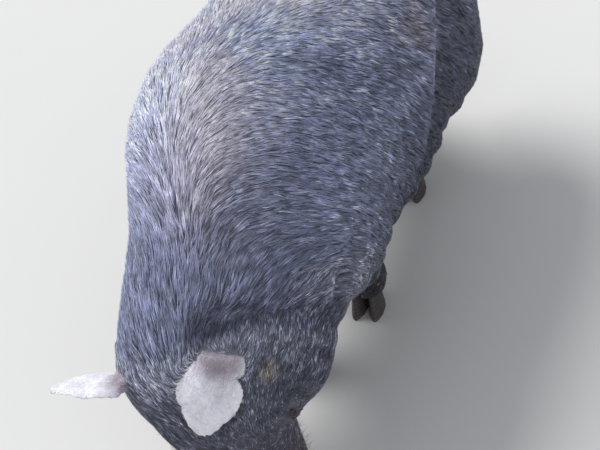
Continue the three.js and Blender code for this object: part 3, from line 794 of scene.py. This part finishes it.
def skin_map(skin):
    """Unwraps the skin by its own shape; gives one place on the map for every triangle's corner."""
    bpy.context.view_layer.objects.active = skin
    skin.select_set(True)
    bpy.ops.object.mode_set(mode="EDIT")
    bpy.ops.mesh.select_all(action="SELECT")
    bpy.ops.uv.smart_project(angle_limit=math.radians(66), island_margin=0.001)
    bpy.ops.object.mode_set(mode="OBJECT")
    skin.select_set(False)
    mesh = skin.data
    map_places = fetched(mesh.uv_layers[0].uv, "vector", 2)
    mesh.calc_loop_triangles()
    corners = fetched(mesh.loop_triangles, "vertices", 3, np.int64)
    loops = fetched(mesh.loop_triangles, "loops", 3, np.int64)
    mesh.uv_layers.remove(mesh.uv_layers[0])
    return corners, map_places[loops]


def bare_share(points):
    """1 where nothing grows: the eyes, the disc, the nostrils and the mouth."""
    x, forward, up = in_head(points)
    bare = step(178, 192, forward) * (np.abs(x) < 90)
    bare = np.maximum(bare, step(19, 14.2, eye_distance(points)))
    line = mouth_line(forward)
    bare = np.maximum(bare, bell(up - line, 3) * (forward > 96) * (forward < 240))
    return bare


def leaders(root, draw):
    """For each tuft, the nearest of the one in LOCK tufts that the rest gather round."""
    chosen = draw.permutation(len(root))[: len(root) // LOCK]
    tree = KDTree(len(chosen))
    for index in chosen:
        tree.insert(root[index], int(index))
    tree.balance()
    return np.array([tree.find(spot)[1] for spot in root])


def along_skin(way, normal):
    return unit(way - normal * (way * normal).sum(1, keepdims=True))


def resting(tree, free, stand):
    """Where free ends of hair rest: raised to stand, or brought down to about half their height."""
    spots, normal = np.empty((2, *free.shape))
    for index, spot in enumerate(free):
        spots[index], normal[index] = tree.find_nearest(spot)[:2]
    above = free - spots
    low = (above * normal).sum(1) < stand
    overhang = spots + 0.55 * above
    return np.where(low[:, None], spots + normal * stand[:, None], overhang), normal


def spindles_of(root, belly, tip, across, up, wide):
    """The five corners of each tuft: its root, a ring of three and its tip."""
    half = across * (0.5 * wide)[:, None]
    crest = up * (0.45 * wide)[:, None]
    return np.stack([root, belly - half, belly + half, belly + crest, tip], axis=1)


def lashes(side):
    """Root, way, droop and length in mm of the lashes on an eye's upper lid."""
    centre, outward, along, above = eye_axes(side)
    u = np.linspace(-7.5, 7.5, LASHES)
    w = (UPPER_LID + 0.1) * (1 - (u / OPENING) ** 2) + 0.6
    h = np.sqrt((LIDS + 0.1) ** 2 - u**2 - w**2)
    root = centre + (np.outer(u, along) + np.outer(w, above) + np.outer(h, outward)) * MM
    way = unit(outward + 0.5 * above + np.outer(u / 20, along))
    return root, way, np.tile(-above, (LASHES, 1)), rng.uniform(5, 9, LASHES)


def whiskers(points, normal, lie):
    """Root, way, droop and length in mm of the whiskers on lips, chin and brow."""
    _, forward, up = in_head(points)
    lips = step(108, 150, forward) * step(198, 188, forward) * step(0, -40, up)
    from_eye = eye_distance(points)
    brow = step(34, 24, from_eye) * step(17, 22, from_eye) * (up > 30)
    chance = lips + 0.5 * brow
    picked = rng.choice(len(points), WHISKERS, replace=False, p=chance / chance.sum())
    way = unit(normal[picked] + 0.8 * lie[picked] + rng.normal(0, 0.15, (WHISKERS, 3)))
    droop = np.tile((0.0, 0.0, -1.0), (WHISKERS, 1))
    return points[picked], way, droop, rng.uniform(9, 21, WHISKERS)


def long_hairs(points, normal, lie):
    """Roots, spindles and colours of the lashes and the whiskers."""
    groups = [lashes(side) for side in EYES] + [whiskers(points, normal, lie)]
    root, way, droop, long = (np.concatenate(column) for column in zip(*groups))
    is_lash = np.arange(len(root)) < LASHES * len(EYES)
    wide = np.where(is_lash, LASH_WIDTH, WHISKER_WIDTH) * MM
    long = (long * MM)[:, None]
    across = unit(np.cross(way, droop + 0.1))
    tip = root + way * long + 0.25 * droop * long
    spindles = spindles_of(root - way * SUNK, root + 0.5 * way * long, tip,
                           across, np.cross(across, way), wide)
    return root, spindles, np.where(is_lash[:, None], LASH, WHISKER)


def tuft_traits(points, normal, region, ridge, edges):
    """Depth, length and width in mm and tufts per cm2 at every vertex, and the share of mane."""
    depth, length, width, density = relax(TRAITS[region], edges, 8).T[1:5]
    _, forward, _ = in_head(points)
    head = np.isin(region, HEAD_REGIONS)
    face = head * step(-10, 110, forward)
    length = length * (1 - 0.5 * face) * (1 - 0.5 * step(36, 18, eye_distance(points)))
    width = width * (1 - 0.35 * face)
    depth = depth * (1 - 0.5 * face)
    mane = bell(points[:, 0] - ridge(points[:, 1]), 0.030) * step(0.4, 0.8, normal[:, 2])
    mane = mane * step(0.05, -0.12, points[:, 1]) * ~head
    return depth, length * (1 + 0.3 * mane), width, density, mane


def scattered(points, corners, density):
    """For each tuft, the triangle that it grows from and the shares of that triangle's corners."""
    a, b, c = (points[corners[:, i]] for i in range(3))
    area = np.linalg.norm(np.cross(b - a, c - a), axis=1) / 2
    wanted = area * (density * (1 - bare_share(points)))[corners].mean(axis=1)
    running = np.cumsum(wanted)
    picks = (np.arange(TUFTS) + rng.random(TUFTS)) / TUFTS * running[-1]
    triangle = np.minimum(np.searchsorted(running, picks), len(corners) - 1)
    return triangle, rng.dirichlet((1, 1, 1), TUFTS)


def contrast(points, normal, region, ridge):
    """How much tufts differ from their neighbours: least on the ears, little in the rose band and the
    painted rim sheen.
    """
    calm = 1 - 0.5 * np.maximum(*rose_band_and_rim_sheen(points, normal, ridge))
    calm *= 0.85 + 0.4 * step(0.85, 0.3, normal[:, 2])
    calm *= 1 - 0.3 * step(-0.12, -0.24, points[:, 1]) * ~np.isin(region, HEAD_REGIONS)
    return np.where(np.isin(region, EAR_REGIONS), 0.25, calm)


def shaded(root, tint, furry, leader):
    """The tufts' colours: the marking's, lighter or darker by lock, by tuft and in blotches."""
    uneven = rng.normal(0, UNEVEN, TUFTS)[leader] + rng.normal(-0.1, UNEVEN, TUFTS)
    blotches = 0.14 * ripple(root, 0.022, 31) + 0.10 * ripple(root, 0.07, 34)
    colour = tint * (GAIN * np.exp(furry * (uneven + blotches)))[:, None]
    fair = rng.random(TUFTS) < FAIR_TUFTS
    return np.where(fair[:, None], colour * 0.4 + FAIR_TUFT * 0.6, colour)


def combed(root, way, long, up, leader):
    """Ways and lengths of tufts that lean towards their lock's leader."""
    offset = root - root[leader]
    offset -= way * (offset * way).sum(1, keepdims=True)
    long = 0.5 * long + 0.5 * long[leader]
    way = unit(0.45 * way + 0.55 * way[leader])
    return along_skin(unit(way - 0.35 * offset / long[:, None]), up), long


def laid_down(tree, root, way, up, long, wide, stand):
    """The spindles of tufts that lie on the skin with belly and tip."""
    belly, up_there = resting(tree, root + way * (BELLY_AT * long)[:, None], 0.45 * stand)
    onward = along_skin(way, up_there)
    tip, _ = resting(tree, belly + onward * (BEYOND * long)[:, None], stand)
    across = np.cross(up_there, onward)
    return spindles_of(root - up * SUNK, belly, tip, across, up_there, wide)


def grow_coat(skin, region, ridge):
    mesh = skin.data
    tree = tree_of(mesh)
    points, normal, edges = coordinates(mesh), normals(mesh), edges_of(mesh)
    depth, length, width, density, mane = tuft_traits(points, normal, region, ridge, edges)
    lie = unit(relax(hair_lie(points, normal, region, ridge), edges, 6))
    corners, map_places = skin_map(skin)
    triangle, share = scattered(points, corners, density)

    def at_root(values):
        return np.einsum("nk,nk...->n...", share, values[corners[triangle]])

    root = at_root(points)
    up = unit(at_root(normal))
    way = along_skin(at_root(lie), up)
    sway = rng.normal(0, 0.11, TUFTS) + 0.20 * ripple(root, 0.024, 32)
    sway += 0.12 * ripple(root, 0.009, 33)
    way = unit(way + np.cross(up, way) * sway[:, None])
    long = at_root(length) * rng.uniform(0.6, 1.3, TUFTS) * MM
    wide = at_root(width) * rng.uniform(0.6, 1.35, TUFTS) * MM
    stand = at_root(depth) * (0.35 + 0.65 * rng.random(TUFTS) ** 1.5) * MM
    stand *= 1 + 0.6 * at_root(mane)
    leader = leaders(root, rng)
    way, long = combed(root, way, long, up, leader)
    spindles = laid_down(tree, root, way, up, long, wide, stand)
    uv = np.einsum("nk,nkj->nj", share, map_places[triangle])
    tint = at_root(markings(points, normal, region, ridge))
    colour = shaded(root, tint, at_root(contrast(points, normal, region, ridge)), leader)
    # The lashes and whiskers join the pieces of the coat that they grow among.
    hair_root, hairs, hair_colour = long_hairs(points, normal, lie)
    at_vertex = np.zeros((len(points), 2))
    at_vertex[corners.ravel()] = map_places.reshape(-1, 2)
    nearest = [np.argmin(((points - spot) ** 2).sum(1)) for spot in hair_root]
    both = zip((root, spindles, uv, colour), (hair_root, hairs, at_vertex[nearest], hair_colour))
    part_coat(*(np.concatenate(pair) for pair in both))


def part_coat(root, spindles, uv, colour):
    """Parts tufts and hairs into pieces of one size, one behind another along the body."""
    order = np.argsort(root[:, 1] + 0.4 * root[:, 2], kind="stable")
    count = math.ceil(TUFTS / TUFTS_IN_A_PIECE)
    for index, chosen in enumerate(np.array_split(order, count)):
        piece = tuft_piece(f"coat_{index + 1}", spindles[chosen], uv[chosen], colour[chosen])
        piece.data.materials.append(coat_material())
        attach(piece, "root")


SPINDLE_FACES = [(0, 2, 1), (0, 3, 2), (0, 1, 3), (4, 1, 2), (4, 2, 3), (4, 3, 1)]
SPINDLE_PATCH = [(-1, 0), (0, -1), (0, 1), (0.2, 0.2), (1, 0)]
SPINDLE_FADE = (0.55, 0.92, 0.92, 1.05, 1.3)  # a hair is darkest at its root


def tuft_piece(name, spindles, uv, colour):
    count, corners, _ = spindles.shape
    first = (np.arange(count) * corners)[:, None, None]
    faces = (first + np.array(SPINDLE_FACES)).reshape(-1, 3)
    mesh = bpy.data.meshes.new(name)
    mesh.vertices.add(count * corners)
    mesh.vertices.foreach_set("co", spindles.ravel())
    mesh.loops.add(faces.size)
    mesh.loops.foreach_set("vertex_index", faces.ravel())
    mesh.polygons.add(len(faces))
    mesh.polygons.foreach_set("loop_start", np.arange(len(faces)) * 3)
    mesh.polygons.foreach_set("use_smooth", np.ones(len(faces), dtype=bool))
    tint = mesh.attributes.new("tint", "FLOAT_COLOR", "POINT")
    rgba = np.ones((count, corners, 4))
    rgba[:, :, :3] = np.clip(colour[:, None] * np.array(SPINDLE_FADE)[None, :, None], 0, 1)
    tint.data.foreach_set("color", rgba.ravel())
    layer = mesh.uv_layers.new(name="OFBake")
    spots = uv[:, None] + np.array(SPINDLE_PATCH)[None] * PATCH
    layer.uv.foreach_set("vector", spots.reshape(-1, 2)[faces.ravel()].ravel())
    mesh.update(calc_edges=True)
    mesh.validate()
    return new_object(name, mesh)


# ---- Materials ----
def material(name, roughness, specular):
    made = bpy.data.materials.new(name)
    made.use_nodes = True
    shader = made.node_tree.nodes["Principled BSDF"]
    shader.inputs["Roughness"].default_value = roughness
    shader.inputs["Specular IOR Level"].default_value = specular
    return made, made.node_tree, shader


def node(tree, kind, inputs=(), **settings):
    """A new node; an input is a value or the socket that it is linked to."""
    made = tree.nodes.new("ShaderNode" + kind)
    for key, value in settings.items():
        setattr(made, key, value)
    for key, value in dict(inputs).items():
        if isinstance(value, bpy.types.NodeSocket):
            tree.links.new(value, made.inputs[key])
        else:
            made.inputs[key].default_value = value
    return made


def combined(tree, first, second, operation):
    return node(tree, "Math", {0: first, 1: second}, operation=operation).outputs["Value"]


def ramp_of(tree, value, stops):
    """A colour that value picks between stops, each a position and a colour."""
    ramp = node(tree, "ValToRGB", {"Fac": value})
    elements = ramp.color_ramp.elements
    while len(elements) < len(stops):
        elements.new(0.5)
    for element, (position, colour) in zip(elements, stops):
        element.position = position
        element.color = (*colour, 1)
    return ramp.outputs["Color"]


def noise_at(tree, spot, scale, detail):
    inputs = {"Vector": spot.outputs["Object"], "Scale": scale, "Detail": detail}
    return node(tree, "TexNoise", inputs).outputs["Fac"]


def roughen(tree, shader, height, strength, distance):
    """Bumps the surface by a height between 0 and about 1."""
    bump = node(tree, "Bump", {"Height": height, "Strength": strength, "Distance": distance})
    tree.links.new(bump.outputs["Normal"], shader.inputs["Normal"])


def tinted(tree, low, high, scale):
    """The tint attribute, made a little darker and lighter by noise on the object's own place."""
    tint = node(tree, "Attribute", attribute_name="tint")
    spot = node(tree, "TexCoord")
    noise = noise_at(tree, spot, scale, 5.0)
    span = node(tree, "MapRange",
                {"Value": noise, "From Min": 0.3, "From Max": 0.7,
                 "To Min": low, "To Max": high})
    scaled = node(tree, "VectorMath", {0: tint.outputs["Color"]}, operation="SCALE")
    tree.links.new(span.outputs["Result"], scaled.inputs["Scale"])
    return scaled.outputs["Vector"], spot


@cache
def coat_material():
    made, tree, shader = material("bristles", 0.5, 0.38)
    colour, _ = tinted(tree, 0.8, 1.2, 60.0)
    tree.links.new(colour, shader.inputs["Base Color"])
    shader.inputs["Sheen Weight"].default_value = 0.25
    shader.inputs["Sheen Roughness"].default_value = 0.4
    shader.inputs["Sheen Tint"].default_value = (0.75, 0.82, 1.0, 1)
    return made


def skin_material():
    made, tree, shader = material("pig_skin", 0.55, 0.4)
    colour, spot = tinted(tree, 0.80, 1.1, 220.0)
    tree.links.new(colour, shader.inputs["Base Color"])
    pores = node(tree, "TexVoronoi", {"Vector": spot.outputs["Object"], "Scale": 420.0})
    lines = noise_at(tree, spot, 900.0, 4.0)
    height = combined(tree, pores.outputs["Distance"], lines, "ADD")
    roughen(tree, shader, height, 0.55, 0.7 * MM)
    return made


@cache
def horn_material():
    made, tree, shader = material("claw_horn", 0.45, 0.5)
    spot = node(tree, "TexCoord")
    rings = node(tree, "TexWave",
                 {"Vector": spot.outputs["Object"], "Scale": 55.0, "Distortion": 4.0, "Detail": 3.0},
                 bands_direction="Z")
    grain = noise_at(tree, spot, 140.0, 6.0)
    blend = combined(tree, rings.outputs["Fac"], grain, "MULTIPLY")
    stops = [(0.0, srgb(56, 51, 50)), (0.5, srgb(78, 71, 66))]
    colour = ramp_of(tree, blend, stops)
    tree.links.new(colour, shader.inputs["Base Color"])
    roughen(tree, shader, blend, 0.5, 0.8 * MM)
    return made


@cache
def eye_material():
    """Pupil, iris and white by the distance from the way that the eye looks."""
    made, tree, shader = material("wet_eye", 0.05, 0.4)
    ring = node(tree, "Attribute", attribute_name="ring")
    spot = node(tree, "TexCoord")
    fleck = noise_at(tree, spot, 900.0, 3.0)
    shift = combined(tree, fleck, 0.06, "MULTIPLY")
    reach = combined(tree, ring.outputs["Fac"], shift, "ADD")
    stops = [(0.0, srgb(5, 4, 5)), (0.20, srgb(6, 5, 5)), (0.23, srgb(78, 54, 38)),
             (0.40, srgb(46, 33, 26)), (0.45, srgb(14, 11, 11)), (0.60, srgb(104, 88, 84))]
    colour = ramp_of(tree, reach, stops)
    tree.links.new(colour, shader.inputs["Base Color"])
    shader.inputs["Coat Weight"].default_value = 0.2
    return made


def plain_material(name, colour):
    made, tree, shader = material(name, 0.9, 0.1)
    spot = node(tree, "TexCoord")
    noise = noise_at(tree, spot, 6.0, 2.0)
    stops = [(0.0, np.array(colour) * 0.98), (1.0, colour)]
    tree.links.new(ramp_of(tree, noise, stops), shader.inputs["Base Color"])
    return made


# ---- Eyes and claws ----
RING_SPAN = 1.6  # angle in radians from the way the eye looks at which ring reaches 1
CORNEA = (0.05, 0.45)  # share by which the front of the ball bulges, and the bulge's angle
CLAW_VOXEL = 1.2 * MM
CLAW_TOP_LIFT = 4.5 * MM  # how far the claws reach up into the hair
CLAW_RINGS = 3.4  # mm from one growth ring to the next


def build_eye(side):
    centre, outward, _, _ = eye_axes(side)
    bm = bmesh.new()
    bmesh.ops.create_uvsphere(bm, u_segments=40, v_segments=24, radius=BALL * MM)
    tilt = math.acos(float(outward[2]))
    spin = np.array(Matrix.Rotation(tilt, 3, tuple(np.cross((0.0, 0.0, 1.0), outward))))
    bulge, bulge_angle = CORNEA
    rings = []
    for vert in bm.verts:
        local = np.array(vert.co)
        polar = math.acos(max(-1, min(1, local[2] / np.linalg.norm(local))))
        rings.append(min(polar / RING_SPAN, 1.0))
        local = local * (1 + bulge * math.exp(-((polar / bulge_angle) ** 2)))
        vert.co = centre + spin @ local
    mesh = mesh_from(bm, EYES[side] + "_ball")
    mesh.attributes.new("ring", "FLOAT", "POINT").data.foreach_set("value", rings)
    smooth_shading(mesh)
    mesh.materials.append(eye_material())
    ball = new_object(EYES[side] + "_ball", mesh)
    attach(ball, "root")
    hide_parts(EYES[side])


def build_claws(leg):
    """The four claws of a foot, rounded off, with growth rings."""
    names = [f"{leg}_{kind}_{side}" for kind in ("claw", "dewclaw") for side in ("outer", "inner")]
    bm = bmesh.new()
    for name in names:
        bm.from_mesh(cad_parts[name].data)
    bmesh.ops.remove_doubles(bm, verts=bm.verts, dist=1e-5)
    horn = new_object(leg + "_horn", mesh_from(bm, leg + "_horn"))
    voxel_remesh(horn, CLAW_VOXEL)
    mesh = horn.data
    points = relax(coordinates(mesh), edges_of(mesh), 14)
    place(mesh, points)
    # The horn's top reaches up into the hair.
    top = step(0.2, 0.7, normals(mesh)[:, 2]) * step(9, 15, points[:, 2] / MM)
    points[:, 2] += CLAW_TOP_LIFT * relax(top, edges_of(mesh), 4)
    place(mesh, points)
    height = points[:, 2] / MM
    rings = 0.16 * np.sin(height * 2 * math.pi / CLAW_RINGS + 2 * ripple(points, 0.03, 41))
    rings += 0.25 * ripple(points, 0.008, 42)
    points = points + normals(mesh) * (rings * step(1.5, 5, height))[:, None] * MM
    points[:, 2] = np.maximum(points[:, 2], 0.0)
    place(mesh, points)
    smooth_shading(mesh)
    mesh.materials.append(horn_material())
    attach(horn, "root")
    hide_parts(*names)


# ---- Camera, floor and light ----
CAMERA_PLACE = ORIGIN + (0.75573, -1.25610, 1.52271)
CAMERA_RIGHT = np.array((0.9147, 0.3003, -0.2704))
CAMERA_ABOVE = np.array((-0.0457, 0.7417, 0.6692))
LENS = 81.84  # mm, on a sensor 36 mm wide
FLOOR_RADIUS = 9.0
FLOOR = (0.72, 0.71, 0.69)
BACKDROP = (0.85, 0.87, 0.865)  # what the camera sees beyond the floor
SKY = (0.44, 0.46, 0.50)  # what lights the pig
# name: the way towards the light, its spread in degrees, its strength
SUNS = {
    "key": ((-0.75, 0.35, 1.0), 30, 2.7),
    "fill": ((0.9, -0.8, 0.8), 70, 0.4),
}


def build_camera():
    data = bpy.data.cameras.new("camera")
    data.sensor_width = 36.0
    data.lens = LENS
    data.clip_end = 50.0
    camera = bpy.data.objects.new("camera", data)
    turned = np.eye(4)
    behind = np.cross(CAMERA_RIGHT, CAMERA_ABOVE)
    turned[:3, :3] = np.stack([CAMERA_RIGHT, CAMERA_ABOVE, behind], 1)
    turned[:3, 3] = CAMERA_PLACE
    camera.matrix_world = Matrix(turned)
    bpy.context.scene.collection.objects.link(camera)
    bpy.context.scene.camera = camera


def build_stage():
    bm = bmesh.new()
    bmesh.ops.create_circle(bm, cap_ends=True, segments=64, radius=FLOOR_RADIUS)
    mesh = mesh_from(bm, "floor")
    mesh.materials.append(plain_material("floor", FLOOR))
    new_object("floor", mesh)


def build_light():
    world = bpy.data.worlds.new("world")
    bpy.context.scene.world = world
    world.use_nodes = True
    tree = world.node_tree
    path = node(tree, "LightPath")
    inputs = {"Factor": path.outputs["Is Camera Ray"], 6: (*SKY, 1), 7: (*BACKDROP, 1)}
    seen = node(tree, "Mix", inputs, data_type="RGBA")
    tree.links.new(seen.outputs[2], tree.nodes["Background"].inputs["Color"])
    for name, (way, spread, strength) in SUNS.items():
        data = bpy.data.lights.new(name, "SUN")
        data.angle = math.radians(spread)
        data.energy = strength
        light = bpy.data.objects.new(name, data)
        light.matrix_world = Vector(way).to_track_quat("Z", "Y").to_matrix().to_4x4()
        bpy.context.scene.collection.objects.link(light)


build_camera()
build_stage()
build_light()
skin, region_at = build_skin()
skin_places = coordinates(skin.data)
skin_region = region_at(skin_places)
ridge = ridge_of(skin_places)
paint_skin(skin, skin_region, ridge)
skin.data.materials.append(skin_material())
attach(skin, "root")
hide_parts(*FLESH)
grow_coat(skin, skin_region, ridge)
for side in EYES:
    build_eye(side)
for leg in LEGS:
    build_claws(leg)

bpy.context.scene.view_settings.view_transform = "Standard"
